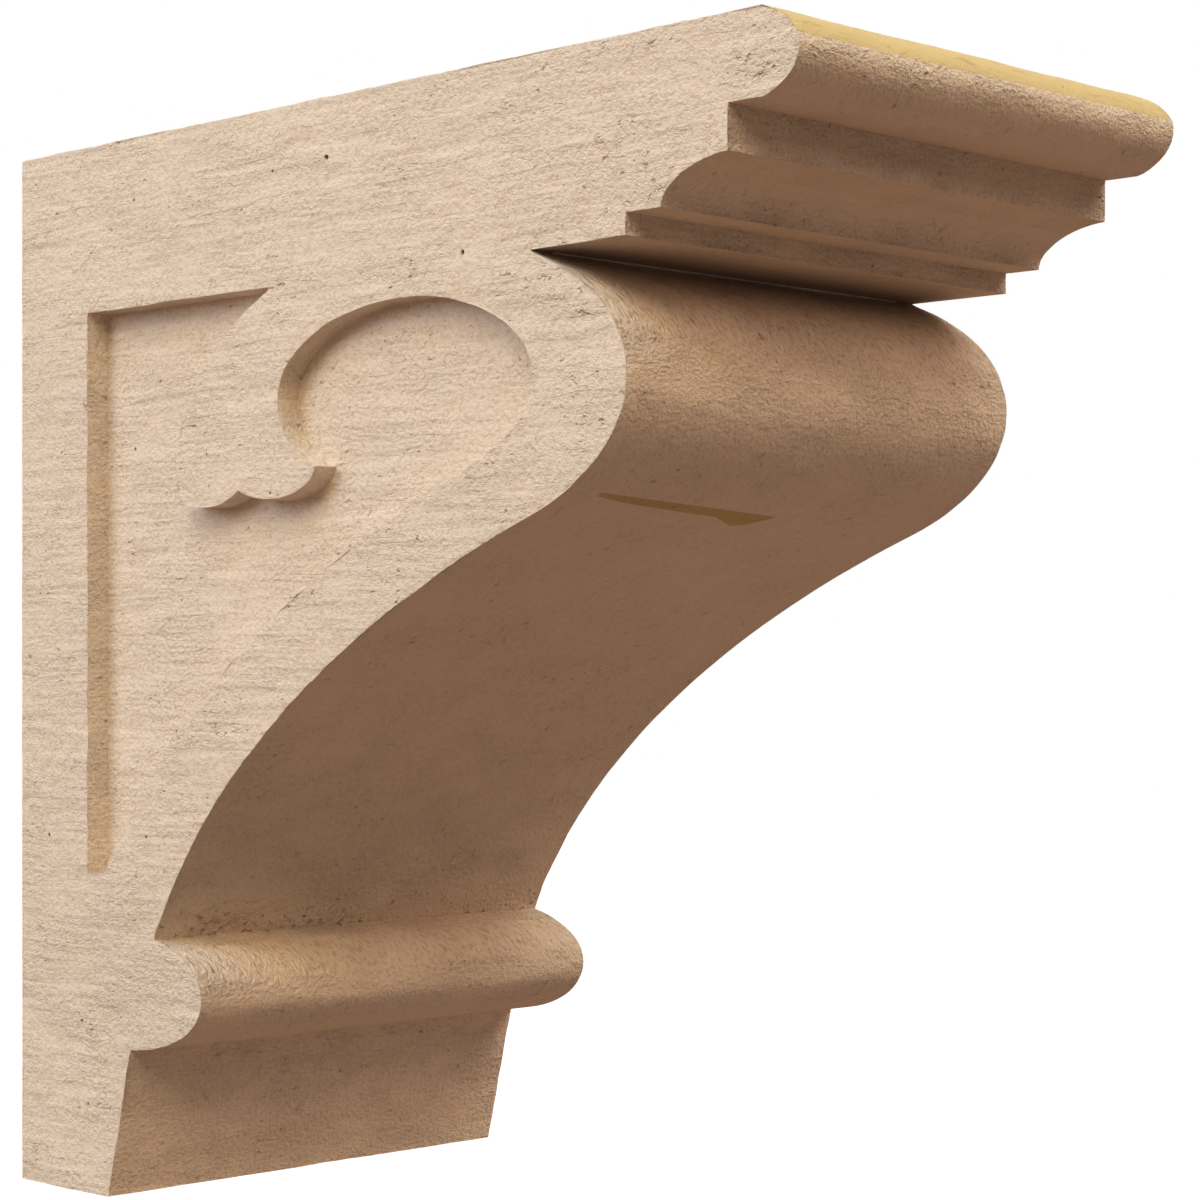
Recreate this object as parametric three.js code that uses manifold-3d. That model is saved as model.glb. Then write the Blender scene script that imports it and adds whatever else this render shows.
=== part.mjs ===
// Urethane corbel, cast as one solid: a moulded shelf nose over a scroll-shaped front,
// a round bead and a tapered foot below it, and a shallow sunk panel in each side.
//
// Millimetres, +Z up. The wall is the plane y = 0 and the corbel projects towards -Y.
// The origin is the middle of the back face.

import * as THREE from 'three';
import { mergeVertices } from 'three/addons/utils/BufferGeometryUtils.js';
import Module from 'manifold-3d';

// Overall size
const WIDTH = 152.4;
const PROJECTION = 304.8;
const HEIGHT = 304.8;

// The side outline is drawn with true circles on a plane that is drawn in towards the wall,
// and then drawn out again by this ratio, so every round moulding is a flat ellipse.
const STRETCH = 2.055;

// Largest gap between a round and the flats that stand for it, on the drawn-in plane
const CHORD_GAP = 0.01;

// Crown, from the top down: nose, upper fillet, cove, lower fillet
const NOSE_HEIGHT = 21.4;
const NOSE_RISE = 11.0;
const UPPER_FILLET_SETBACK = 21.8;
const UPPER_FILLET_HEIGHT = 11.0;
const COVE_RUN = 21.5;
const COVE_HEIGHT = 10.8;
const COVE_RISE = 2.8;
const LOWER_FILLET_SETBACK = 11.1;
const LOWER_FILLET_HEIGHT = 5.5;

// Scroll under the crown, and the long hollow throat that sweeps down from it
const SCROLL_RADIUS = 41.4;
const SCROLL_SETBACK = 53.9;
const SCROLL_DROP = 32.8;
const THROAT_RADIUS = 199.7;
const THROAT_END_HEIGHT = 76.2;

// Bead and foot
const BEAD_RADIUS = 17.1;
const BEAD_PROJECTION = 87.0;
const FOOT_HEIGHT = 43.3;
const FOOT_TOP_PROJECTION = 54.3;
const FOOT_BOTTOM_PROJECTION = 43.5;

// Sunk panel in each side
const PANEL_DEPTH = 7.0;
const PANEL_BACK_MARGIN = 33.5;
const PANEL_FOOT_MARGIN = 17.3;
const PANEL_FOOT_WIDTH = 7.8;
const PANEL_RIM = 15.7;

// Round eye at the front end of the panel
const EYE_RADIUS = 23.8;
const EYE_TOP_DROP = 7.6;
const EYE_FRONT_MARGIN = 33.2;

// Raised tongue that hangs into the panel and curls round the eye.
// Its corners are placed from the middle of the eye, back towards the wall and down.
const TONGUE_ROOT_BACK = 53.0;
const TONGUE_HEEL_BACK = 92.6;
const TONGUE_HEEL_DROP = 24.9;
const TONGUE_CUSP_BACK = 65.8;
const TONGUE_CUSP_DROP = 23.3;
const TONGUE_TIP_ANGLE = THREE.MathUtils.degToRad(228);
const TONGUE_BACK_RISE = 7.0;
const HEEL_LOBE_RISE = 3.1;
const TIP_LOBE_RISE = 5.5;

// How far a cutting shape runs past the face that it cuts
const CUT_PAST = 5.0;

// A point on the drawn-in plane: how far it stands out from the wall, and its height
function at(projection, height) {
  return new THREE.Vector2(projection / STRETCH, height);
}

function circleAt(centre, radius) {
  return { centre, radius };
}

function pointOn(circle, angle) {
  const spoke = new THREE.Vector2(Math.cos(angle), Math.sin(angle));
  return spoke.multiplyScalar(circle.radius).add(circle.centre);
}

function angleOn(circle, point) {
  return Math.atan2(point.y - circle.centre.y, point.x - circle.centre.x);
}

// Points along a circle from one angle to another, with flats of an even length
function sweep(circle, fromAngle, toAngle) {
  const step = 2 * Math.acos(1 - CHORD_GAP / circle.radius);
  const count = Math.max(2, Math.ceil(Math.abs(toAngle - fromAngle) / step));
  const points = [];
  for (let i = 0; i <= count; i += 1) {
    points.push(pointOn(circle, fromAngle + (toAngle - fromAngle) * (i / count)));
  }
  return points;
}

// Clockwise along a circle from one point on it to another
function sweepClockwise(circle, from, to) {
  const start = angleOn(circle, from);
  const turn = THREE.MathUtils.euclideanModulo(start - angleOn(circle, to), 2 * Math.PI);
  return sweep(circle, start, start - turn);
}

// An arc from one point to another that rises from its chord, to the left of the way
// it runs for a positive rise and to the right for a negative one
function bow(from, to, rise) {
  const chord = to.clone().sub(from);
  const half = chord.length() / 2;
  const radius = (half * half + rise * rise) / (2 * Math.abs(rise));
  const left = new THREE.Vector2(-chord.y, chord.x).normalize();
  const centre = from.clone().add(to).multiplyScalar(0.5);
  centre.addScaledVector(left, rise - Math.sign(rise) * radius);
  const circle = circleAt(centre, radius);
  const start = angleOn(circle, from);
  const swing = 2 * Math.atan2(half, radius - Math.abs(rise));
  return sweep(circle, start, start - Math.sign(rise) * swing);
}

// The circle of a given radius that touches another from outside and passes through a point
// below it, with its centre on the front side
function hollowBelow(round, point, radius) {
  const reach = round.radius + radius;
  const line = point.clone().sub(round.centre);
  const span = line.length();
  const along = (reach * reach - radius * radius + span * span) / (2 * span);
  const aside = Math.sqrt(reach * reach - along * along);
  line.normalize();
  const centre = round.centre.clone().addScaledVector(line, along);
  centre.addScaledVector(new THREE.Vector2(-line.y, line.x), aside);
  return circleAt(centre, radius);
}

// Where two circles that touch from outside meet
function touchPoint(round, hollow) {
  return pointOn(round, angleOn(round, hollow.centre));
}

// The foremost point of a circle at a given height
function frontAt(circle, height) {
  const rise = height - circle.centre.y;
  const reach = Math.sqrt(circle.radius * circle.radius - rise * rise);
  return new THREE.Vector2(circle.centre.x + reach, height);
}

// The underside of the crown is also the level of the panel's top edge
const CROWN_HEIGHT = NOSE_HEIGHT + UPPER_FILLET_HEIGHT + COVE_HEIGHT + LOWER_FILLET_HEIGHT;
const SOFFIT = HEIGHT - CROWN_HEIGHT;

const scroll = circleAt(
  at(PROJECTION - SCROLL_SETBACK - SCROLL_RADIUS * STRETCH, SOFFIT - SCROLL_DROP),
  SCROLL_RADIUS,
);

const bead = circleAt(
  at(BEAD_PROJECTION - BEAD_RADIUS * STRETCH, FOOT_HEIGHT + BEAD_RADIUS),
  BEAD_RADIUS,
);

// The throat leaves the scroll without a break and ends in a corner on top of the bead
const throatEnd = frontAt(bead, THROAT_END_HEIGHT);
const throat = hollowBelow(scroll, throatEnd, THROAT_RADIUS);

const eye = circleAt(
  at(
    PROJECTION - SCROLL_SETBACK - EYE_FRONT_MARGIN - EYE_RADIUS * STRETCH,
    SOFFIT - EYE_TOP_DROP - EYE_RADIUS,
  ),
  EYE_RADIUS,
);

// The crown's outline, from the front of the flat top down to the soffit
function crownOutline() {
  const chordOut = PROJECTION - NOSE_RISE;
  const noseFoot = HEIGHT - NOSE_HEIGHT;
  const coveOut = PROJECTION - UPPER_FILLET_SETBACK;
  const coveTop = noseFoot - UPPER_FILLET_HEIGHT;
  const coveFoot = coveTop - COVE_HEIGHT;
  const lowerOut = coveOut - COVE_RUN - LOWER_FILLET_SETBACK;
  return [
    ...bow(at(chordOut, HEIGHT), at(chordOut, noseFoot), NOSE_RISE / STRETCH),
    at(coveOut, noseFoot),
    ...bow(at(coveOut, coveTop), at(coveOut - COVE_RUN, coveFoot), -COVE_RISE),
    at(lowerOut, coveFoot),
    at(lowerOut, SOFFIT),
  ];
}

// The front from the soffit down: scroll, throat, bead and foot
function frontOutline() {
  const turn = touchPoint(scroll, throat);
  const drop = bead.centre.x - FOOT_TOP_PROJECTION / STRETCH;
  const footTop = new THREE.Vector2(
    FOOT_TOP_PROJECTION / STRETCH,
    bead.centre.y - Math.sqrt(BEAD_RADIUS * BEAD_RADIUS - drop * drop),
  );
  const hollow = sweep(throat, angleOn(throat, turn), angleOn(throat, throatEnd));
  return [
    ...sweepClockwise(scroll, frontAt(scroll, SOFFIT), turn),
    ...hollow.slice(1, -1),
    ...sweepClockwise(bead, throatEnd, footTop),
    at(FOOT_BOTTOM_PROJECTION, 0),
  ];
}

function bodyOutline() {
  return [at(0, 0), at(0, HEIGHT), ...crownOutline(), ...frontOutline()];
}

// The panel's outline, clockwise from its lowest corner at the back
function panelOutline() {
  const floor = THROAT_END_HEIGHT + PANEL_FOOT_MARGIN;
  const footCorner = at(PANEL_BACK_MARGIN + PANEL_FOOT_WIDTH, floor);
  const rim = hollowBelow(eye, footCorner, THROAT_RADIUS + PANEL_RIM);
  const turn = touchPoint(eye, rim);
  const fromEye = (back, drop) => {
    return new THREE.Vector2(eye.centre.x - back / STRETCH, eye.centre.y - drop);
  };
  const root = new THREE.Vector2(eye.centre.x - TONGUE_ROOT_BACK / STRETCH, SOFFIT);
  const heel = fromEye(TONGUE_HEEL_BACK, TONGUE_HEEL_DROP);
  const cusp = fromEye(TONGUE_CUSP_BACK, TONGUE_CUSP_DROP);
  const tip = pointOn(eye, TONGUE_TIP_ANGLE);
  const rimEdge = sweep(rim, angleOn(rim, turn), angleOn(rim, footCorner));
  return [
    at(PANEL_BACK_MARGIN, floor),
    at(PANEL_BACK_MARGIN, SOFFIT),
    ...bow(root, heel, -TONGUE_BACK_RISE),
    ...bow(heel, cusp, -HEEL_LOBE_RISE).slice(1),
    ...bow(cusp, tip, -TIP_LOBE_RISE).slice(1, -1),
    ...sweepClockwise(eye, tip, turn),
    ...rimEdge.slice(1),
  ];
}

// A slab with an outline from the drawn-in plane, drawn out to its true shape, with the
// height counted from the middle. It fills the given span across the width.
function slab(outline, from, to) {
  const shape = new THREE.Shape(
    outline.map((point) => new THREE.Vector2(point.x * STRETCH, point.y - HEIGHT / 2)),
  );
  const geometry = new THREE.ExtrudeGeometry(shape, { depth: to - from, bevelEnabled: false });
  return geometry.translate(0, 0, from);
}

const wasm = await Module();
wasm.setup();

function toSolid(geometry) {
  geometry.deleteAttribute('normal');
  geometry.deleteAttribute('uv');
  const welded = mergeVertices(geometry);
  return new wasm.Manifold(new wasm.Mesh({
    numProp: 3,
    vertProperties: new Float32Array(welded.attributes.position.array),
    triVerts: new Uint32Array(welded.index.array),
  }));
}

function toGeometry(solid) {
  const mesh = solid.getMesh();
  const geometry = new THREE.BufferGeometry();
  geometry.setAttribute('position', new THREE.BufferAttribute(mesh.vertProperties, mesh.numProp));
  geometry.setIndex(new THREE.BufferAttribute(mesh.triVerts, 1));
  geometry.computeVertexNormals();
  return geometry;
}

function castCorbel() {
  const side = WIDTH / 2;
  const floor = side - PANEL_DEPTH;
  const body = toSolid(slab(bodyOutline(), -side, side));
  const leftPanel = toSolid(slab(panelOutline(), -side - CUT_PAST, -floor));
  const rightPanel = toSolid(slab(panelOutline(), floor, side + CUT_PAST));
  return toGeometry(body.subtract(leftPanel).subtract(rightPanel));
}

const primedUrethane = new THREE.MeshStandardMaterial({
  color: 0xd9bd9c,
  roughness: 0.85,
  metalness: 0.0,
});

const corbel = new THREE.Mesh(castCorbel(), primedUrethane);
corbel.name = 'corbel';

// The outline's plane stands upright, square to the wall: out of the wall is -Y
const outOfWall = new THREE.Vector3(0, -1, 0);
const up = new THREE.Vector3(0, 0, 1);
const across = new THREE.Vector3(-1, 0, 0);
corbel.setRotationFromMatrix(new THREE.Matrix4().makeBasis(outOfWall, up, across));

const part = new THREE.Group();
part.name = 'urethane_corbel';
part.add(corbel);

export default part;
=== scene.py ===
"""Urethane corbel: a rough-sawn, primed casting in a pale studio.

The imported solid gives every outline. The casting's skin is laid over it as one closed
mesh, with real saw relief and pinholes, and gets a procedural primer finish.
Everything is in metres. The wall is the plane y = 0 and the corbel projects towards -Y.
"""

import math
import random

import bpy
import numpy as np
from bpy.props import (
    FloatProperty,
    FloatVectorProperty,
    IntProperty,
    PointerProperty,
)
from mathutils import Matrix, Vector, noise
from mathutils.geometry import delaunay_2d_cdt


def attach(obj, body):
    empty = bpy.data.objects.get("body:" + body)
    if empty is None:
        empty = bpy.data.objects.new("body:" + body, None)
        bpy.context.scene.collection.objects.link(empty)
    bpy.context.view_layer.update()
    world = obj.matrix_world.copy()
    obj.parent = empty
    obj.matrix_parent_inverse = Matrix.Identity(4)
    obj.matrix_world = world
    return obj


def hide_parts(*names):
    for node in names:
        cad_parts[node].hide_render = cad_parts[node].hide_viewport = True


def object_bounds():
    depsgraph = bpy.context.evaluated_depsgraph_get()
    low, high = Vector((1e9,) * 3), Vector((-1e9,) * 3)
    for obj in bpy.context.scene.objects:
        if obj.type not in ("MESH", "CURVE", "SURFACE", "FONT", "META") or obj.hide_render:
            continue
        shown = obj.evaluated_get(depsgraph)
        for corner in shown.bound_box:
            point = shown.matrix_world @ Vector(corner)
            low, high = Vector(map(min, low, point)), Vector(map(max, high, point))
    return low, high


bl_info = {
    "name": "Urethane Corbel",
    "version": (1, 0, 0),
    "blender": (4, 5, 0),
    "location": "3D View > Sidebar > Corbel",
    "description": "Builds a rough-sawn urethane corbel over its packed solid",
    "category": "Object",
}

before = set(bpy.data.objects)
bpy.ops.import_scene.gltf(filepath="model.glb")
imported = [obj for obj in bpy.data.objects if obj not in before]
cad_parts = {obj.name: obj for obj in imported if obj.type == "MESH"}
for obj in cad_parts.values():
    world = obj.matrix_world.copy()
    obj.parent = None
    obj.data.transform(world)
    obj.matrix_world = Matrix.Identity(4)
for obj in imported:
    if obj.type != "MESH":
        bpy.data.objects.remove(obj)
CAD_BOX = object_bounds()
BODY = "root"
NODE = "corbel"

MM = 0.001
HALF_WIDTH = CAD_BOX[1].x
TOP = CAD_BOX[1].z
BOTTOM = CAD_BOX[0].z

# A point this close to a flat face lies on it
NEAR = 0.1 * MM
# Corners of an outline that turn by more than this are arrises, and the rest are rounds
ARRIS_TURN = math.radians(25)
# Faces that meet at more than this are shaded with a sharp edge between them
SHARP_ANGLE = math.radians(42)
# Where the middle of a rounded arris lies, as a share of its radius in from the corner
ARRIS_MIDDLE = 0.29
# The longest way out of a corner that a parallel outline takes, as a share of the
# distance between the two outlines
MITRE_LIMIT = 2.2

# Depth of the relief on other faces, as a share of its depth on the sides
BACK_SHARE = 0.4
LEVEL_SHARE = 0.5
FRONT_SHARE = 1.25
PANEL_WALL_SHARE = 0.7
# Each face has its own relief, read at its own level of the noise
SIDE_LEVEL = 41.0
PANEL_WALL_LEVEL = 5.0

# A pinhole's rings from its middle out: share of its depth and of its painted shade, share
# of its radius, points
PINHOLE_RINGS = ((1.0, 0.0, 1), (0.9, 0.6, 6), (0.0, 1.15, 10))
PINHOLE_DEPTH = 1.3
PINHOLE_CLEARING = 1.9
PINHOLE_FROM_EDGE = 3 * MM
PINHOLES_APART = 5 * MM

# Pinholes that the photograph shows: distance from the wall and height in mm, and a
# size as a share of the largest
SEEN_PINHOLES = (
    (-140.0, 136.2, 1.0),
    (-117.5, 135.2, 0.6),
    (-55.7, 134.3, 0.6),
    (-192.8, 105.6, 1.0),
    (-46.7, 64.0, 0.7),
    (-88.8, 60.0, 0.6),
    (-116.7, 48.0, 0.6),
    (-68.4, 19.9, 0.5),
    (-66.1, -17.4, 0.6),
    (-14.0, -48.8, 0.8),
    (-61.3, -47.5, 0.7),
    (-30.5, -102.4, 0.8),
    (-33.5, -126.3, 0.6),
)


class CorbelSkinSettings(bpy.types.PropertyGroup):
    """Sizes of the casting's skin: its mesh spacing, its arrises and its relief."""

    side_row: FloatProperty(
        name="Side Row",
        description="Height between two rows of points on a side",
        default=1.1 * MM,
        min=0.4 * MM,
        unit="LENGTH",
    )
    side_column: FloatProperty(
        name="Side Column",
        description="Distance between two points along a row on a side",
        default=1.5 * MM,
        min=0.5 * MM,
        unit="LENGTH",
    )
    front_row: FloatProperty(
        name="Front Row",
        description="Distance between two rows of points down the front",
        default=2.0 * MM,
        min=0.5 * MM,
        unit="LENGTH",
    )
    flat_row: FloatProperty(
        name="Flat Row",
        description="Distance between two rows on the back, the top and the underside",
        default=4.0 * MM,
        min=0.5 * MM,
        unit="LENGTH",
    )
    front_column: FloatProperty(
        name="Front Column",
        description="Distance between two points across the width",
        default=2.4 * MM,
        min=0.5 * MM,
        unit="LENGTH",
    )
    wall_row: FloatProperty(
        name="Panel Wall Row",
        description="Distance between two points round the wall of a sunk panel",
        default=1.5 * MM,
        min=0.5 * MM,
        unit="LENGTH",
    )
    arris: FloatProperty(
        name="Arris",
        description="Radius of the outer edges, as the mould leaves them",
        default=0.45 * MM,
        min=0.05 * MM,
        unit="LENGTH",
    )
    saw_depth: FloatProperty(
        name="Saw Depth",
        description="Depth of the saw lines cut along the grain",
        default=0.3 * MM,
        min=0.0,
        unit="LENGTH",
    )
    swell_depth: FloatProperty(
        name="Swell Depth",
        description="Depth of the broad unevenness of the sawn face",
        default=0.34 * MM,
        min=0.0,
        unit="LENGTH",
    )
    grain_depth: FloatProperty(
        name="Grain Depth",
        description="Depth of the short torn grain between saw lines",
        default=0.4 * MM,
        min=0.0,
        unit="LENGTH",
    )
    pinholes: IntProperty(
        name="Pinholes",
        description="Number of burst air bubbles on the side that the photograph hides",
        default=12,
        min=0,
    )
    pinhole_radius: FloatProperty(
        name="Pinhole Radius",
        description="Largest radius of a pinhole",
        default=0.7 * MM,
        min=0.1 * MM,
        unit="LENGTH",
    )
    seed: IntProperty(
        name="Seed",
        description="Start of the random draws for relief and pinholes",
        default=7,
    )


class CorbelFinishSettings(bpy.types.PropertyGroup):
    """Colours and fine texture of the factory primer and of bare urethane."""

    primer: FloatVectorProperty(
        name="Primer",
        description="Tan factory primer",
        default=(0.80, 0.678, 0.562),
        subtype="COLOR",
        min=0.0,
        max=1.0,
    )
    # Painted shade: primer darkened where it lies in the hollows of the saw texture
    primer_hollow_shade: FloatVectorProperty(
        name="Primer in Hollows",
        description="Primer where it lies deeper in the saw texture",
        default=(0.56, 0.37, 0.20),
        subtype="COLOR",
        min=0.0,
        max=1.0,
    )
    bare: FloatVectorProperty(
        name="Bare Urethane",
        description="Yellow foam where the primer stops",
        default=(0.635, 0.50, 0.25),
        subtype="COLOR",
        min=0.0,
        max=1.0,
    )
    slash: FloatVectorProperty(
        name="Slash",
        description="Olive slash on the front where the primer is missing",
        default=(0.52, 0.385, 0.17),
        subtype="COLOR",
        min=0.0,
        max=1.0,
    )
    # Painted shade inside the pinholes
    pit: FloatVectorProperty(
        name="Pinhole Colour",
        description="Shaded inside of a pinhole",
        default=(0.05, 0.03, 0.02),
        subtype="COLOR",
        min=0.0,
        max=1.0,
    )
    # Painted shade: the colour that darkens the primer towards the root of the notch under
    # the crown
    notch: FloatVectorProperty(
        name="Notch",
        description="Primer at the root of the notch under the crown",
        default=(0.48, 0.39, 0.31),
        subtype="COLOR",
        min=0.0,
        max=1.0,
    )
    # Painted light: a pale line where light leaks through the joint at the root of the
    # notch
    seam: FloatVectorProperty(
        name="Seam Line",
        description="Pale line at the root of the notch under the crown",
        default=(0.95, 0.93, 0.91),
        subtype="COLOR",
        min=0.0,
        max=1.0,
    )
    bare_band: FloatProperty(
        name="Bare Band",
        description="Height of the bare band below the top of the nose",
        default=7.9 * MM,
        unit="LENGTH",
    )
    grit_depth: FloatProperty(
        name="Grit Depth",
        description="Depth of the grit, which is finer than the mesh",
        default=0.64 * MM,
        min=0.0,
        unit="LENGTH",
    )
    chip_depth: FloatProperty(
        name="Chip Depth",
        description="Depth of the small chips between the saw lines",
        default=0.47 * MM,
        min=0.0,
        unit="LENGTH",
    )
    line_depth: FloatProperty(
        name="Line Depth",
        description="Depth of the finest saw lines",
        default=0.17 * MM,
        min=0.0,
        unit="LENGTH",
    )
    front_gain: FloatProperty(
        name="Front Gain",
        description="How much deeper the fine texture of the front is than the sides'",
        default=2.7,
        min=0.0,
        subtype="FACTOR",
    )
    nose_gain: FloatProperty(
        name="Nose Gain",
        description="How much deeper the fine texture of the nose is than the sides'",
        default=2.3,
        min=0.0,
        subtype="FACTOR",
    )
    # Painted light: how much paler the primer is painted on the front below the crown
    front_painted_light: FloatProperty(
        name="Front Primer",
        description="How much paler the primer is on the front below the crown",
        default=1.2,
        min=0.0,
        subtype="FACTOR",
    )
    roughness: FloatProperty(
        name="Roughness",
        description="Roughness of the primer",
        default=0.82,
        min=0.0,
        max=1.0,
        subtype="FACTOR",
    )
    gloss: FloatProperty(
        name="Gloss",
        description="Strength of the primer's faint reflection",
        default=0.25,
        min=0.0,
        max=1.0,
        subtype="FACTOR",
    )


class CorbelStudioSettings(bpy.types.PropertyGroup):
    """Light, floor and surroundings."""

    light_gain: FloatProperty(
        name="Light Gain",
        description="Brightness of all the soft lights together",
        default=1.02,
        min=0.0,
        subtype="FACTOR",
    )
    light_distance: FloatProperty(
        name="Light Distance",
        description="Distance of the soft lights from the corbel",
        default=4.0,
        min=0.5,
        unit="LENGTH",
    )
    light_size: FloatProperty(
        name="Light Size",
        description="Diameter of each round soft light",
        default=2.6,
        min=0.05,
        unit="LENGTH",
    )
    surround: FloatVectorProperty(
        name="Surround",
        description="Warm light that reaches the corbel from all round",
        default=(0.240, 0.168, 0.131),
        subtype="COLOR",
        min=0.0,
        max=1.0,
    )
    floor_drop: FloatProperty(
        name="Floor Drop",
        description="How far the floor lies below the corbel, which hangs on a wall",
        default=4.0,
        min=0.01,
        unit="LENGTH",
    )


def run_along(points):
    """How far each point is along the line through them all."""
    steps = np.linalg.norm(np.diff(points, axis=0), axis=1)
    return np.concatenate([[0.0], np.cumsum(steps)])


class Outline:
    """A closed outline in the side plane, anticlockwise in (y, z)."""

    def __init__(self, points):
        self.points = np.array(points)
        ahead = np.roll(self.points, -1, axis=0) - self.points
        ahead /= np.linalg.norm(ahead, axis=1)[:, None]
        behind = np.roll(ahead, 1, axis=0)
        out_ahead = np.column_stack([ahead[:, 1], -ahead[:, 0]])
        out_behind = np.column_stack([behind[:, 1], -behind[:, 0]])
        middle = out_ahead + out_behind
        length = np.linalg.norm(middle, axis=1)
        self.normals = middle / length[:, None]
        # A parallel outline needs the long way out of a corner, up to a limit
        self.mitres = self.normals * np.minimum(2 / length, MITRE_LIMIT)[:, None]
        self.run = run_along(self.points)

    def __len__(self):
        return len(self.points)

    def moved(self, distance):
        """The points moved outwards by a distance."""
        return self.points + self.mitres * distance

    def holds(self, places):
        """Which places lie inside, by counting crossings."""
        inside = np.zeros(len(places), bool)
        after = np.roll(self.points, -1, axis=0)
        for (y0, z0), (y1, z1) in zip(self.points, after):
            if z0 == z1:
                continue
            crosses = (z0 > places[:, 1]) != (z1 > places[:, 1])
            at = y0 + (places[:, 1] - z0) * (y1 - y0) / (z1 - z0)
            inside ^= crosses & (places[:, 0] < at)
        return inside


def side_outlines(node):
    """The body's outline and the sunk panel's, read from the faces that look left."""
    ahead = {}
    for face in node.data.polygons:
        if face.normal.x > -0.99 or face.center.x > NEAR - HALF_WIDTH:
            continue
        corners = [node.data.vertices[i].co for i in face.vertices]
        keys = [(round(c.y, 6), round(c.z, 6)) for c in corners]
        for a, b in zip(keys, keys[1:] + keys[:1]):
            if ahead.get(b) is not None and a in ahead[b]:
                ahead[b].remove(a)
            else:
                ahead.setdefault(a, []).append(b)
    loops = []
    open_ends = {a: b[0] for a, b in ahead.items() if b}
    while open_ends:
        start = next(iter(open_ends))
        loop = [start]
        point = open_ends.pop(start)
        while point != start:
            loop.append(point)
            point = open_ends.pop(point)
        loops.append(np.array(loop))
    if len(loops) != 2:
        raise RuntimeError(f"the side should have 2 outlines, and it has {len(loops)}")
    loops.sort(key=lambda loop: -np.ptp(loop[:, 1]))
    return [anticlockwise(loop) for loop in loops]


def anticlockwise(loop):
    """The loop, turned round if it runs clockwise."""
    after = np.roll(loop, -1, axis=0)
    area = np.sum(loop[:, 0] * after[:, 1] - after[:, 0] * loop[:, 1]) / 2
    return loop if area > 0 else loop[::-1]


def respaced(loop, spacing_of, arris):
    """The loop with points at an even spacing along each stretch between two arrises.
    Outward arrises are rounded by the given radius, and inward ones stay sharp."""
    ahead = np.roll(loop, -1, axis=0) - loop
    ahead /= np.linalg.norm(ahead, axis=1)[:, None]
    behind = np.roll(ahead, 1, axis=0)
    cross = behind[:, 0] * ahead[:, 1] - behind[:, 1] * ahead[:, 0]
    turn = np.arctan2(cross, np.sum(ahead * behind, axis=1))
    corners = np.flatnonzero(np.abs(turn) > ARRIS_TURN)
    rounded = (turn > ARRIS_TURN) & (arris > 0)
    made = []
    for i, first in enumerate(corners):
        last = corners[(i + 1) % len(corners)]
        if last <= first:
            last += len(loop)
        stretch = loop[np.arange(first, last + 1) % len(loop)]
        run = run_along(stretch)
        begin = arris * rounded[first]
        end = run[-1] - arris * rounded[last % len(loop)]
        count = max(1, round((end - begin) / spacing_of(stretch)))
        at = np.linspace(begin, end, count + 1)
        points = np.column_stack([np.interp(at, run, stretch[:, k]) for k in (0, 1)])
        if rounded[first]:
            inward = ahead[first] - behind[first]
            made.append(loop[first] + inward * arris * ARRIS_MIDDLE)
        made.extend(points)
        if not rounded[last % len(loop)]:
            made.pop()
    return Outline(made)


def body_spacing(settings):
    """Rows are close down the front, and wider on the three flat faces."""

    def spacing(stretch):
        low, high = stretch.min(axis=0), stretch.max(axis=0)
        on_back = low[0] > -NEAR
        on_top = low[1] > TOP - NEAR
        underneath = high[1] < BOTTOM + NEAR
        if on_back or on_top or underneath:
            return settings.flat_row
        return settings.front_row

    return spacing


def near_any(places, points, reach):
    """Which places lie within reach of one of the points."""
    near = np.zeros(len(places), bool)
    order = np.argsort(places[:, 1])
    heights = places[order, 1]
    for point in points:
        low = np.searchsorted(heights, point[1] - reach)
        high = np.searchsorted(heights, point[1] + reach)
        rows = order[low:high]
        near[rows] |= np.hypot(*(places[rows] - point).T) < reach
    return near


def filled_in(points, spacing):
    """The loop's points, and more between them where they are wider apart."""
    after = np.roll(points, -1, axis=0)
    gaps = np.linalg.norm(after - points, axis=1)
    made = []
    for point, to, gap in zip(points, after, gaps):
        count = max(1, math.ceil(gap / spacing))
        made.extend(point + (to - point) * k / count for k in range(count))
    return np.array(made)


def side_points(settings, loops):
    """Rows of points over a side, each second row set off by half a column."""
    low, high = loops[0].min(axis=0), loops[0].max(axis=0)
    made = []
    rows = int((high[1] - low[1]) / settings.side_row)
    for row in range(rows + 1):
        start = low[0] + (0.5 * settings.side_column if row % 2 else 0.0)
        across = np.arange(start, high[0], settings.side_column)
        height = low[1] + row * settings.side_row
        made.append(np.column_stack([across, np.full(len(across), height)]))
    places = np.concatenate(made)
    reach = 0.55 * settings.side_row
    for loop in loops:
        edge = filled_in(loop, reach)
        places = places[~near_any(places, edge, reach)]
    return places


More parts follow.
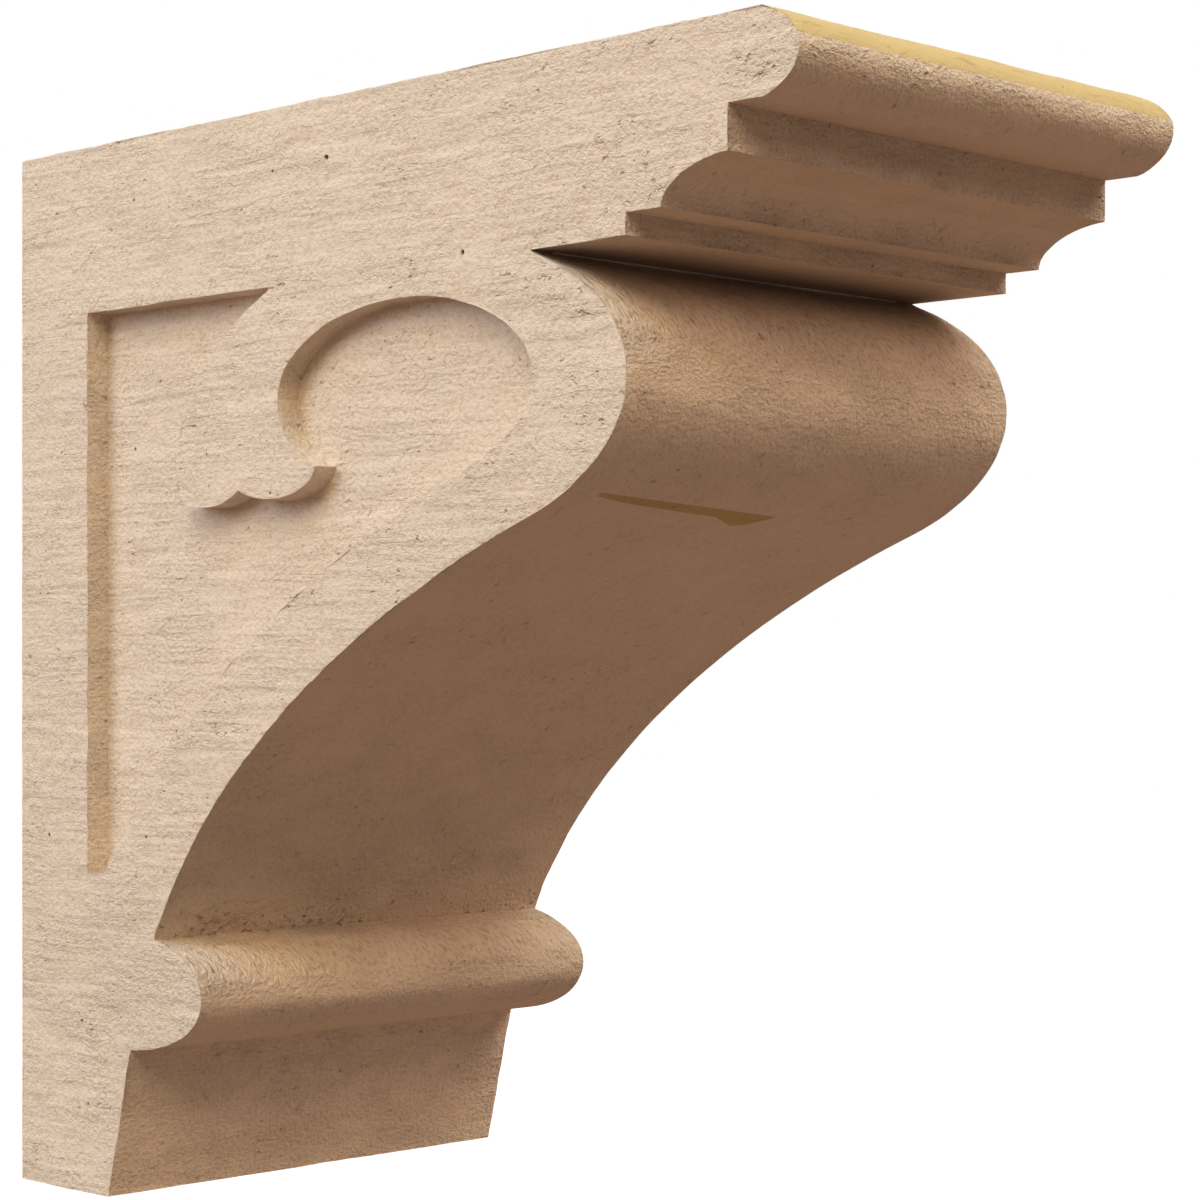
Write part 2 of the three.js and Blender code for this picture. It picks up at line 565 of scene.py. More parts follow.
def pinhole_places(settings, body, rim, floor):
    """Pinholes on both sides as (side, place, radius): those that the photograph shows
    on the left, and random ones on the right, clear of every edge."""
    made = [
        (-1, np.array((y, z)) * MM, settings.pinhole_radius * size)
        for y, z, size in SEEN_PINHOLES
    ]
    draw = random.Random(settings.seed)
    low, high = body.min(axis=0), body.max(axis=0)
    outer, inner, sunk = Outline(body), Outline(rim), Outline(floor)
    edge = np.concatenate([filled_in(loop, MM) for loop in (body, rim, floor)])
    wanted = len(made) + settings.pinholes
    while len(made) < wanted:
        place = np.array([[draw.uniform(low[i], high[i]) for i in (0, 1)]])
        on_face = outer.holds(place)[0] and not inner.holds(place)[0]
        if not (on_face or sunk.holds(place)[0]):
            continue
        if near_any(place, edge, PINHOLE_FROM_EDGE)[0]:
            continue
        centres = np.array([centre for _, centre, _ in made])
        if near_any(place, centres, PINHOLES_APART)[0]:
            continue
        radius = settings.pinhole_radius * draw.uniform(0.5, 1.0)
        made.append((1, place[0], radius))
    return made


def ring(centre, radius, count, turn):
    """Points on a circle, from the given turn on."""
    angles = turn + np.arange(count) * math.tau / count
    return centre + radius * np.column_stack([np.cos(angles), np.sin(angles)])


def held(value, low, high):
    return min(high, max(low, value))


def sawn(along, across, level, settings, lined=1.0):
    """Depth of the sawn relief. The saw lines run in the first direction, and sway a
    little. Each noise is read at its own level, so that no two are alike."""

    def wave(length, width, at, above):
        """Noise with features of the given length and width in mm."""
        return noise.noise((along / (length * MM), at / (width * MM), level + above))

    swaying = across + 1.0 * MM * wave(45, 30, across, 0.0)
    line = wave(34, 2.9, swaying, 3.1)
    swell = wave(15, 8, swaying, 7.7)
    grain = wave(3.2, 2.8, swaying, 11.3)
    patch = wave(24, 13, across, 19.9)
    groove = held(0.5 - 1.3 * line, 0.0, 1.0)
    rough = held(0.65 + 1.4 * patch, 0.25, 1.0)
    return (
        settings.saw_depth * groove * rough * lined
        + settings.swell_depth * (0.5 + 0.5 * swell)
        + settings.grain_depth * (0.5 + 0.5 * grain) * rough
    )


class Skin:
    """The mesh as it grows: points, faces, and how far each point is down a pinhole, which
    sets its painted shade.
    """

    ARRIS_STEPS = 2

    def __init__(self, settings, body, panel):
        self.settings = settings
        self.body = body
        self.panel = panel
        self.points = []
        self.faces = []
        self.hollow = []

    def add(self, x, y, z, hollow=0.0):
        """Adds a point and gives back its number."""
        self.points.append((x, y, z))
        self.hollow.append(hollow)
        return len(self.points) - 1

    def strip(self, one, other, flip):
        """Faces between two closed rows of points."""
        count = len(one)
        for i in range(count):
            j = (i + 1) % count
            face = (one[i], one[j], other[j], other[i])
            self.faces.append(face[::-1] if flip else face)

    def belt(self):
        """The back, top, front and underside, from one side's arris to the other's.
        Gives back the two end rows."""
        settings, body = self.settings, self.body
        reach = HALF_WIDTH - settings.arris
        count = round(2 * reach / settings.front_column)
        rows = []
        for x in np.linspace(-reach, reach, count + 1):
            row = []
            for (y, z), normal in zip(body.points, body.normals):
                depth = self.belt_depth(x, y, z, normal[1])
                row.append(self.add(x, *(np.array((y, z)) - normal * depth)))
            rows.append(row)
        for one, other in zip(rows, rows[1:]):
            self.strip(one, other, flip=False)
        return rows[0], rows[-1]

    def belt_depth(self, x, y, z, upward):
        """The front has the sides' relief, seen square on from the front, and it fades
        where the front faces down. The back, the top and the underside are plainer."""
        level = float(self.settings.seed)
        if y > -NEAR:
            return BACK_SHARE * sawn(x, z, level, self.settings)
        if z > TOP - NEAR or z < BOTTOM + NEAR:
            return LEVEL_SHARE * sawn(x, y, level, self.settings)
        fade = held(1.0 + 1.4 * (upward + 0.4), 0.3, 1.0)
        return FRONT_SHARE * fade * sawn(x, z, level, self.settings, lined=0.4)

    def side_depth(self, y, z, side):
        """The relief of one side, which is -1 on the left and 1 on the right."""
        level = self.settings.seed + SIDE_LEVEL * (side + 2)
        return sawn(y, z, level, self.settings)

    def edge_row(self, outline, side, angle, outward, x_at):
        """One row of points round an arris, at an angle from the wall to the face."""
        radius = self.settings.arris
        moved = outline.moved(outward * radius * (1 - math.cos(angle)))
        row = []
        for (y, z), normal in zip(moved, outline.normals):
            deep = self.belt_depth(side * HALF_WIDTH, y, z, normal[1] * -outward)
            deep *= math.cos(angle)
            y -= normal[0] * deep * -outward
            z -= normal[1] * deep * -outward
            face = self.side_depth(y, z, side) * math.sin(angle)
            row.append(self.add(side * (x_at(angle) - face), y, z))
        return row

    def arris_rows(self, outline, side, outward, start):
        """The rows that round an edge, from the given first row to the face."""
        radius = self.settings.arris

        def x_at(angle):
            return HALF_WIDTH - radius + radius * math.sin(angle)

        rows = [start]
        for step in range(1, self.ARRIS_STEPS + 1):
            angle = step / self.ARRIS_STEPS * math.pi / 2
            rows.append(self.edge_row(outline, side, angle, outward, x_at))
        for one, other in zip(rows, rows[1:]):
            self.strip(one, other, flip=(side > 0) == (outward > 0))
        return rows[-1]

    def close_side(self, side, end_row, plan):
        """One side: its edge, its face, the wall of its sunk panel and the floor."""
        floor_x = plan["floor_x"]
        outer = self.arris_rows(self.body, side, -1, end_row)
        wall_top = self.edge_row(
            self.panel, side, 0.0, 1, lambda angle: HALF_WIDTH - self.settings.arris
        )
        rim = self.arris_rows(self.panel, side, 1, wall_top)
        floor = [
            self.add(side * (floor_x - self.side_depth(y, z, side)), y, z)
            for y, z in self.panel.points
        ]
        self.panel_wall(side, wall_top, floor, floor_x)
        self.fill_side(side, outer, rim, floor, plan)

    def panel_wall(self, side, top, floor, floor_x):
        """Rows down the wall of the sunk panel."""
        rows = [top]
        deep = HALF_WIDTH - self.settings.arris - floor_x
        count = max(1, round(deep / self.settings.wall_row))
        for step in range(1, count):
            x = floor_x + deep * (1 - step / count)
            row = []
            for (y, z), normal, run in zip(
                self.panel.points, self.panel.normals, self.panel.run
            ):
                depth = sawn(run, x, PANEL_WALL_LEVEL + side, self.settings)
                depth *= PANEL_WALL_SHARE
                place = (y + normal[0] * depth, z + normal[1] * depth)
                row.append(self.add(side * x, *place))
            rows.append(row)
        rows.append(floor)
        for one, other in zip(rows, rows[1:]):
            self.strip(one, other, flip=side < 0)

    def fill_side(self, side, outer, rim, floor, plan):
        """The face round the panel and the panel's floor, over the plan's points."""
        ready = {i: p for i, p in enumerate([*outer, *rim, *floor])}
        for triangle, sunk in plan["triangles"]:
            face = []
            for i in triangle:
                if i not in ready:
                    y, z = plan["places"][i]
                    level = plan["floor_x"] if sunk else HALF_WIDTH
                    share, down = plan["hollow"].get((i, side), (0.0, 0.0))
                    x = level - self.side_depth(y, z, side) - down
                    ready[i] = self.add(side * x, y, z, share)
                face.append(ready[i])
            self.faces.append(face if side > 0 else face[::-1])


def plan_side(settings, body, panel, floor_x):
    """The triangles of a side seen square on. Both sides share them."""
    radius = settings.arris
    outer, rim, floor = body.moved(-radius), panel.moved(radius), panel.points
    loops = [outer, rim, floor]
    places = side_points(settings, loops)
    on_body = Outline(outer).holds(places)
    in_ring = Outline(rim).holds(places) & ~Outline(floor).holds(places)
    places = places[on_body & ~in_ring]
    holes = pinhole_places(settings, outer, rim, floor)
    centres = np.array([centre for _, centre, _ in holes])
    clearing = PINHOLE_CLEARING * settings.pinhole_radius
    places = places[~near_any(places, centres, clearing)]
    start = sum(len(loop) for loop in loops)
    every = [*loops, places]
    hollow = {}
    index = start + len(places)
    for side, centre, size in holes:
        for share, reach, count in PINHOLE_RINGS:
            every.append(ring(centre, size * reach, count, size / MM))
            for _ in range(count):
                hollow[index, side] = (share, share * size * PINHOLE_DEPTH)
                index += 1
    every = np.concatenate(every)
    edges = []
    first = 0
    for loop in loops:
        count = len(loop)
        edges.extend((first + i, first + (i + 1) % count) for i in range(count))
        first += count
    points, _, faces, origins, _, _ = delaunay_2d_cdt(
        [Vector(place) for place in every], edges, [], 0, 1e-7, True
    )
    if len(points) != len(every):
        raise RuntimeError("two points of a side fell on each other")
    source = [origin[0] for origin in origins]
    triangles = np.array([[source[i] for i in face] for face in faces])
    middles = every[triangles].mean(axis=1)
    sunk = Outline(floor).holds(middles)
    raised = Outline(outer).holds(middles) & ~Outline(rim).holds(middles)
    kept = [
        (tuple(triangle), bool(low))
        for triangle, low, high in zip(triangles.tolist(), sunk, raised)
        if low or high
    ]
    return {
        "places": every,
        "triangles": kept,
        "hollow": hollow,
        "floor_x": floor_x,
    }


def panel_floor(node):
    """How far the panels' floors are from the middle of the width."""
    levels = {
        round(-face.center.x, 5) for face in node.data.polygons if face.normal.x < -0.99
    }
    return min(levels)


def skin_mesh(settings, node):
    """The whole skin as one closed mesh."""
    body_loop, panel_loop = side_outlines(node)
    body = respaced(body_loop, body_spacing(settings), settings.arris)
    panel = respaced(panel_loop, lambda stretch: settings.wall_row, 0.0)
    skin = Skin(settings, body, panel)
    plan = plan_side(settings, body, panel, panel_floor(node))
    left_row, right_row = skin.belt()
    skin.close_side(-1, left_row, plan)
    skin.close_side(1, right_row, plan)
    mesh = bpy.data.meshes.new("corbel_skin")
    mesh.from_pydata(skin.points, [], skin.faces)
    mesh.validate()
    mesh.shade_smooth()
    mesh.set_sharp_from_angle(angle=SHARP_ANGLE)
    down = mesh.attributes.new("pinhole", "FLOAT", "POINT")
    down.data.foreach_set("value", np.array(skin.hollow, np.float32))
    return mesh


class Nodes:
    """Short ways to write the nodes of a material or of the surround."""

    def __init__(self, tree):
        self.tree = tree
        tree.nodes.clear()

    def link(self, value, socket):
        """Links an output to a socket, or sets a plain value on it."""
        if isinstance(value, bpy.types.NodeSocket):
            self.tree.links.new(value, socket)
        elif value is not None:
            socket.default_value = value

    def new(self, kind, **settings):
        node = self.tree.nodes.new(kind)
        for name, value in settings.items():
            setattr(node, name, value)
        return node

    def finish(self, shader, kind):
        """Links the last shader to a new output node."""
        output = self.new(kind)
        self.link(shader.outputs[0], output.inputs["Surface"])

    def math(self, operation, a, b=None, c=None):
        node = self.new("ShaderNodeMath", operation=operation)
        for value, socket in zip((a, b, c), node.inputs):
            self.link(value, socket)
        return node.outputs[0]

    def product(self, first, *others):
        for other in others:
            first = self.math("MULTIPLY", first, other)
        return first

    def inside(self, value, low, high):
        """1 where the value lies between two others and 0 elsewhere."""
        above = self.math("GREATER_THAN", value, low)
        return self.product(above, self.math("LESS_THAN", value, high))

    def noise(self, place, scale, detail=2.0, rough=0.5, distort=0.0):
        """Noise whose features have the given length in mm along X, Y and Z."""
        stretch = self.new("ShaderNodeVectorMath", operation="MULTIPLY")
        self.link(place, stretch.inputs[0])
        stretch.inputs[1].default_value = tuple(1 / (length * MM) for length in scale)
        node = self.new("ShaderNodeTexNoise", noise_type="FBM")
        self.link(stretch.outputs[0], node.inputs["Vector"])
        node.inputs["Scale"].default_value = 1.0
        node.inputs["Detail"].default_value = detail
        node.inputs["Roughness"].default_value = rough
        node.inputs["Distortion"].default_value = distort
        return node.outputs[0]

    def between(self, value, low, high, to_low=0.0, to_high=1.0, smooth=False):
        """The value carried from one range to another, and held at its ends."""
        kind = "SMOOTHSTEP" if smooth else "LINEAR"
        node = self.new("ShaderNodeMapRange", interpolation_type=kind)
        for given, name in zip(
            (value, low, high, to_low, to_high),
            ("Value", "From Min", "From Max", "To Min", "To Max"),
        ):
            self.link(given, node.inputs[name])
        return node.outputs[0]

    def split(self, vector):
        node = self.new("ShaderNodeSeparateXYZ")
        self.link(vector, node.inputs[0])
        return node.outputs

    def join(self, *parts):
        node = self.new("ShaderNodeCombineXYZ")
        for part, socket in zip(parts, node.inputs):
            self.link(part, socket)
        return node.outputs[0]

    def scale(self, vector, factor):
        node = self.new("ShaderNodeVectorMath", operation="SCALE")
        self.link(vector, node.inputs[0])
        self.link(factor, node.inputs["Scale"])
        return node.outputs[0]

    def crinkle(self, value):
        """Rounded grains with sharp creases between them, from 0 in a crease to 1."""
        off_middle = self.math("ABSOLUTE", self.math("SUBTRACT", value, 0.5))
        return self.product(off_middle, 2.0)

    def blend(self, share, a, b):
        return self.math("MULTIPLY_ADD", self.math("SUBTRACT", b, a), share, a)

    def mix(self, share, a, b):
        """Two colours mixed by a share of the second."""
        node = self.new("ShaderNodeMix", data_type="RGBA")
        self.link(share, node.inputs["Factor"])
        colours = [socket for socket in node.inputs if socket.type == "RGBA"]
        for colour, socket in zip((a, b), colours):
            if not isinstance(colour, bpy.types.NodeSocket):
                colour = (*colour, 1.0)
            self.link(colour, socket)
        return next(socket for socket in node.outputs if socket.type == "RGBA")


# The bare slash on the front of the scroll, in (x, z): its upper edge is straight, and
# its lower edge drops to a small tail near the right end
SLASH_TOP = (43.8 * MM, 40.7 * MM)
SLASH_FOOT = (
    (-63.4 * MM, 43.0 * MM),
    (-52.0 * MM, 41.9 * MM),
    (-12.6 * MM, 39.9 * MM),
    (-2.2 * MM, 38.2 * MM),
    (2.8 * MM, 38.5 * MM),
    (10.1 * MM, 40.7 * MM),
)
SLASH_ENDS = (SLASH_FOOT[0][0], SLASH_FOOT[-1][0])
# The slash lies further from the wall than this, on the scroll's front
SCROLL_FRONT = -150 * MM

# The height of the nose's lower edge
NOSE_FOOT = 131 * MM
# The root of the notch below the crown, and the distances from it at which the painted
# shade there is darkest and ends
NOTCH_Y = -219 * MM
NOTCH_Z = 103.7 * MM
NOTCH_SHADE = (4 * MM, 24 * MM)
# The pale line at that root: painted light, as if light leaked through the joint there
SEAM_Z = (103.5 * MM, 105 * MM)
SEAM_Y = (-218.7 * MM, -215 * MM)
SEAM_HALF_LENGTH = 68 * MM
# Painted light makes the front paler below the crown, from the first height to the second
PAINTED_LIGHT_Z = (108 * MM, 96 * MM)

# The sawing is rougher towards the nose and towards the bead, from the first place to
# the second
NOSE_Y = (-190 * MM, -280 * MM)
BEAD_Y = (-20 * MM, -60 * MM)
BEAD_Z = (-55 * MM, -80 * MM)
# The front is torn just above the bead, which starts at the last height
TORN_Z = (-64 * MM, -74 * MM)
BEAD_TOP = -76.5 * MM

# Heights between which the front's texture is smeared down the profile, and by how much
SMEARS = (
    (82 * MM, 103.7 * MM, 9 * MM),
    (-88 * MM, -76.2 * MM, 4.5 * MM),
)


class Place:
    """Where a point of the casting lies and which way it faces, for its finish."""

    def __init__(self, nodes):
        coordinates = nodes.new("ShaderNodeTexCoord")
        self.point = coordinates.outputs["Object"]
        self.x, self.y, self.z = nodes.split(self.point)
        facing_x, facing_y, self.upward = nodes.split(coordinates.outputs["Normal"])
        self.sideways = nodes.math("ABSOLUTE", facing_x)
        self.on_side = nodes.between(self.sideways, 0.5, 0.8)
        on_back = nodes.math("GREATER_THAN", facing_y, 0.5)
        self.off_front = nodes.math("MAXIMUM", self.on_side, on_back)
        # How far a face looks up, and how much texture it keeps as it looks down, which
        # also sets the painted shade of faces that look down
        self.rising = nodes.between(self.upward, 0.05, 0.5)
        self.kept = nodes.between(self.upward, -0.9, -0.4, 0.5, 1.0)


def texture_place(nodes, place):
    """Where the texture is looked up: square on from the side, from above on level
    faces, and from the front everywhere else."""
    on_top = nodes.math("GREATER_THAN", nodes.math("ABSOLUTE", place.upward), 0.94)
    height = place.z
    for low, high, drop in SMEARS:
        smear = nodes.between(place.z, low, high, 0.0, -drop)
        height = nodes.math("ADD", height, smear)
    height = nodes.blend(place.off_front, height, place.z)
    return nodes.join(
        nodes.blend(place.on_side, place.x, place.y),
        nodes.blend(on_top, height, place.y),
        nodes.product(place.on_side, place.x),
    )


def bare_top(nodes, place, drop):
    """1 on the flat top and in the band down the nose, and 0 elsewhere."""
    above = nodes.math("GREATER_THAN", place.z, TOP - drop)
    up = nodes.math("GREATER_THAN", place.upward, 0.12)
    inside = nodes.math("LESS_THAN", place.sideways, 0.6)
    return nodes.product(above, up, inside)


def slash_mask(nodes, place):
    """1 inside the bare slash and 0 elsewhere."""
    left, right = SLASH_ENDS
    top = nodes.between(place.x, left, right, *SLASH_TOP)
    low = min(height for _, height in SLASH_FOOT)
    span = max(height for _, height in SLASH_FOOT) - low
    ramp = nodes.new("ShaderNodeValToRGB")
    stops = ramp.color_ramp.elements
    while len(stops) < len(SLASH_FOOT):
        stops.new(0.5)
    for stop, (across, height) in zip(stops, SLASH_FOOT):
        stop.position = (across - left) / (right - left)
        grey = (height - low) / span
        stop.color = (grey, grey, grey, 1.0)
    nodes.link(nodes.between(place.x, left, right), ramp.inputs[0])
    foot = nodes.math("MULTIPLY_ADD", ramp.outputs[0], span, low)
    return nodes.product(
        nodes.inside(place.z, foot, top),
        nodes.inside(place.x, left, right),
        nodes.math("LESS_THAN", place.y, SCROLL_FRONT),
    )


def roughness_of_sawing(nodes, place, patch):
    """How rough the sawing is: in patches, and more so at the nose and the bead."""
    rough = nodes.between(patch, 0.36, 0.62, 0.7, 1.2)
    at_nose = nodes.between(place.y, *NOSE_Y, 1.0, 1.3)
    at_bead = nodes.between(place.z, *BEAD_Z, 1.0, 1.6)
    at_bead = nodes.blend(nodes.between(place.y, *BEAD_Y), 1.0, at_bead)
    at_end = nodes.math("MAXIMUM", at_nose, at_bead)
    return nodes.product(rough, nodes.blend(place.off_front, 1.0, at_end))


def small_chips(nodes, flat):
    """Small chips with creases between them, in part of the face: 0 in a crease."""
    chips = nodes.crinkle(nodes.noise(flat, (4.0, 1.8, 30), 2.0, 0.6))
    partly = nodes.between(nodes.noise(flat, (6, 5, 30), 1.0), 0.42, 0.6)
    return nodes.blend(partly, 0.4, chips)


def fine_lines(nodes, place, flat, patch, grit):
    """The finest saw lines as soft ridges, and the broken grooves between them. Both
    are fainter on the front."""
    along, across, apart = nodes.split(flat)
    wander = nodes.noise(flat, (30, 12, 60), 1.0)
    bent = nodes.join(along, nodes.math("MULTIPLY_ADD", wander, 3 * MM, across), apart)
    lines = nodes.noise(bent, (30, 2.0, 60), 1.0)
    ragged = nodes.math("MULTIPLY_ADD", grit, 0.14, nodes.crinkle(lines))
    groove = nodes.between(ragged, 0.05, 0.18, 1.0, 0.0, smooth=True)
    broken = nodes.between(nodes.noise(flat, (9, 3.5, 30), 1.0), 0.42, 0.62)
    groove = nodes.product(groove, broken)
    ridges = nodes.math("MULTIPLY_ADD", groove, -0.4, nodes.between(lines, 0.32, 0.68))
    ridges = nodes.product(ridges, nodes.between(patch, 0.38, 0.6, 0.55, 1.15))
    faint = nodes.blend(place.off_front, 0.3, 1.0)
    return nodes.product(ridges, faint), nodes.product(groove, faint)


def torn_spots(nodes, place, flat, patch):
    """Torn spots: more of them in rough patches, over the bead and at the nose."""
    torn = nodes.noise(flat, (2.6, 1.9, 30), 2.0, 0.6)
    more = nodes.between(patch, 0.35, 0.65, 0.92, 1.06)
    over_bead = nodes.between(place.z, *TORN_Z, 1.0, 1.12)
    on_bead = nodes.math("LESS_THAN", place.z, BEAD_TOP)
    over_bead = nodes.blend(on_bead, over_bead, 1.0)
    at_nose = nodes.between(place.y, *NOSE_Y, 1.0, 1.06)
    ends = nodes.blend(place.off_front, over_bead, at_nose)
    return nodes.between(nodes.product(torn, more, ends), 0.66, 0.8)


def fine_relief(nodes, place, settings, texture, band):
    """Bump for what is finer than the mesh. It is deeper on the front, most of all
    where the front looks up, and shallow where a face looks down and on bare foam."""
    chips = nodes.product(texture["chips"], 0.5)
    height = nodes.product(texture["grit"], settings.grit_depth)
    height = nodes.math("MULTIPLY_ADD", chips, settings.chip_depth, height)
    height = nodes.product(height, texture["rough"])
    height = nodes.math("MULTIPLY_ADD", texture["torn"], -settings.chip_depth, height)
    height = nodes.math("MULTIPLY_ADD", texture["ridges"], settings.line_depth, height)
    steep = nodes.math("MULTIPLY_ADD", place.rising, 0.35, 1.0)
    steep = nodes.product(steep, settings.front_gain)
    on_nose = nodes.math("GREATER_THAN", place.z, NOSE_FOOT)
    front_gain = nodes.blend(on_nose, steep, settings.nose_gain)
    gain = nodes.blend(place.off_front, front_gain, 1.0)
    gain = nodes.product(gain, place.kept, nodes.between(band, 0.0, 1.0, 1.0, 0.35))
    bump = nodes.new("ShaderNodeBump")
    bump.inputs["Strength"].default_value = 1.0
    bump.inputs["Distance"].default_value = 1.0
    nodes.link(nodes.product(height, gain), bump.inputs["Height"])
    return bump.outputs[0]


def primer_colour(nodes, place, settings, texture):
    """Primer with painted shade in the hollows of the saw texture and on faces that look
    down, a slow random change in tone over the casting, and painted light that makes the
    front paler below the crown."""
    on_front = nodes.math("SUBTRACT", 1.0, place.off_front)
    streaked = nodes.product(place.rising, on_front)
    share = nodes.math("MULTIPLY_ADD", streaked, 0.3, 0.5)
    # Painted shade in the low grit, the chip creases, the grooves and the torn spots
    low = nodes.product(nodes.between(texture["grit"], 0.52, 0.3), share)
    for other in (
        nodes.between(texture["chips"], 0.1, 0.0, 0.0, 0.4),
        nodes.product(texture["groove"], 0.18),
        nodes.product(texture["torn"], 0.9),
    ):
        low = nodes.math("MAXIMUM", low, other)
    # Painted shade: faces that look down take more of the darker primer
    low = nodes.blend(place.kept, 0.5, low)
    colour = nodes.mix(low, settings.primer, settings.primer_hollow_shade)
    slow = nodes.noise(place.point, (60, 60, 40), 3.0, 0.6)
    colour = nodes.scale(colour, nodes.between(slow, 0.3, 0.7, 0.97, 1.03))
    # Painted light: the front below the crown is paler, except where it looks down
    below_crown = nodes.between(place.z, *PAINTED_LIGHT_Z)
    level = nodes.between(place.upward, -0.55, -0.25)
    paler = nodes.blend(nodes.product(below_crown, level), 1.0, settings.front_painted_light)
    return nodes.scale(colour, nodes.blend(place.off_front, paler, 1.0))


def notch_shade_mask(nodes, place):
    """How strongly painted shade darkens the primer towards the root of the notch under
    the crown.
    """
    back = nodes.math("SUBTRACT", place.y, NOTCH_Y)
    up = nodes.math("SUBTRACT", place.z, NOTCH_Z)
    squares = nodes.math("MULTIPLY_ADD", back, back, nodes.product(up, up))
    away = nodes.math("SQRT", squares)
    near = nodes.between(away, *NOTCH_SHADE, 1.0, 0.0, smooth=True)
    on_front = nodes.math("SUBTRACT", 1.0, place.off_front)
    return nodes.product(near, on_front, 0.8)


def seam_light_mask(nodes, place):
    """1 on the painted pale line of leaking light at the root of the notch and 0
    elsewhere.
    """
    across = nodes.math("ABSOLUTE", place.x)
    return nodes.product(
        nodes.inside(place.z, *SEAM_Z),
        nodes.inside(place.y, *SEAM_Y),
        nodes.math("LESS_THAN", across, SEAM_HALF_LENGTH),
    )


def foam_colour(nodes, flat, settings):
    """Bare foam with short darker streaks across the width."""
    streak = nodes.noise(flat, (9, 1.8, 30), 3.0, 0.65, 0.4)
    low = tuple(channel * 0.8 for channel in settings.bare)
    return nodes.mix(nodes.between(streak, 0.34, 0.42), low, settings.bare)


def primed_urethane(settings):
    """Matte primer over cast foam, with bare foam on top and in the slash."""
    material = bpy.data.materials.new("primed_urethane")
    material.use_nodes = True
    nodes = Nodes(material.node_tree)
    place = Place(nodes)
    flat = texture_place(nodes, place)
    patch = nodes.noise(flat, (26, 12, 90), 2.0, 0.6)
    grit = nodes.noise(flat, (1.3, 1.2, 30), 3.0, 0.65)
    ridges, groove = fine_lines(nodes, place, flat, patch, grit)
    texture = {
        "rough": roughness_of_sawing(nodes, place, patch),
        "grit": grit,
        "chips": small_chips(nodes, flat),
        "ridges": ridges,
        "groove": groove,
        "torn": torn_spots(nodes, place, flat, patch),
    }
    band = bare_top(nodes, place, settings.bare_band)
    pinhole = nodes.new("ShaderNodeAttribute", attribute_name="pinhole")

    colour = primer_colour(nodes, place, settings, texture)
    # Painted shade down the pinholes, darkest at their middles
    colour = nodes.mix(pinhole.outputs["Fac"], colour, settings.pit)
    # Painted shade towards the root of the notch under the crown
    colour = nodes.mix(notch_shade_mask(nodes, place), colour, settings.notch)
    # Painted light: the pale line at the root of the notch
    colour = nodes.mix(seam_light_mask(nodes, place), colour, settings.seam)
    colour = nodes.mix(band, colour, foam_colour(nodes, flat, settings))
    colour = nodes.mix(slash_mask(nodes, place), colour, settings.slash)

    shader = nodes.new("ShaderNodeBsdfPrincipled")
    nodes.link(colour, shader.inputs["Base Color"])
    relief = fine_relief(nodes, place, settings, texture, band)
    nodes.link(relief, shader.inputs["Normal"])
    shader.inputs["Roughness"].default_value = settings.roughness
    shader.inputs["Specular IOR Level"].default_value = settings.gloss
    nodes.finish(shader, "ShaderNodeOutputMaterial")
    return material


class CORBEL_OT_cast(bpy.types.Operator):
    """Lay the sawn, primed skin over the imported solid"""

    bl_idname = "corbel.cast"
    bl_label = "Cast Corbel"
    bl_options = {"REGISTER", "UNDO"}

    def execute(self, context):
        scene = context.scene
        mesh = skin_mesh(scene.corbel_skin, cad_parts[NODE])
        piece = bpy.data.objects.new("corbel_casting", mesh)
        scene.collection.objects.link(piece)
        mesh.materials.append(primed_urethane(scene.corbel_finish))
        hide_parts(NODE)
        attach(piece, BODY)
        return {"FINISHED"}


# The camera as the photograph has it, in pixels of the square frame
PHOTO_PIXELS = 1200.0
FOCAL_PIXELS = 2919.5
OPTICAL_CENTRE = (573.0, 669.7)
# Width of the camera's sensor in mm
SENSOR = 36.0
CAMERA_PLACE = (-580.3 * MM, -732.2 * MM, 0.1 * MM)
CAMERA_YAW = math.radians(45.26)

# Soft lights: name, degrees round from the front to the left, degrees up, and the
# brightness that each gives a white matt face turned towards it
LIGHTS = (
    ("left_front", 60, 42, (0.49, 0.41, 0.25)),
    ("left_back", 120, 22, (0.43, 0.448, 0.468)),
    ("left_high", 90, 62, (0.16, 0.25, 0.35)),
    ("right_front", -30, 42, (0.42, 0.302, 0.217)),
    ("right_high", -30, 62, (0.19, 0.26, 0.25)),
    ("right_low", -90, -60, (0.09, 0.05, 0.028)),
)


# Half of the floor's width
FLOOR_REACH = 60.0
WHITE = (1.0, 1.0, 1.0, 1.0)


def aimed(scene, data, place, ahead):
    """A new object for a camera or a light that looks ahead from a place."""
    holder = bpy.data.objects.new(data.name, data)
    holder.location = place
    holder.rotation_mode = "QUATERNION"
    holder.rotation_quaternion = ahead.to_track_quat("-Z", "Y")
    scene.collection.objects.link(holder)
    return holder


def add_camera(scene):
    """The photograph's own camera, level and shifted off its middle."""
    camera = bpy.data.cameras.new("camera")
    camera.sensor_width = SENSOR
    camera.lens = FOCAL_PIXELS / PHOTO_PIXELS * SENSOR
    camera.shift_x = 0.5 - OPTICAL_CENTRE[0] / PHOTO_PIXELS
    camera.shift_y = OPTICAL_CENTRE[1] / PHOTO_PIXELS - 0.5
    ahead = Vector((math.sin(CAMERA_YAW), math.cos(CAMERA_YAW), 0.0))
    scene.camera = aimed(scene, camera, CAMERA_PLACE, ahead)


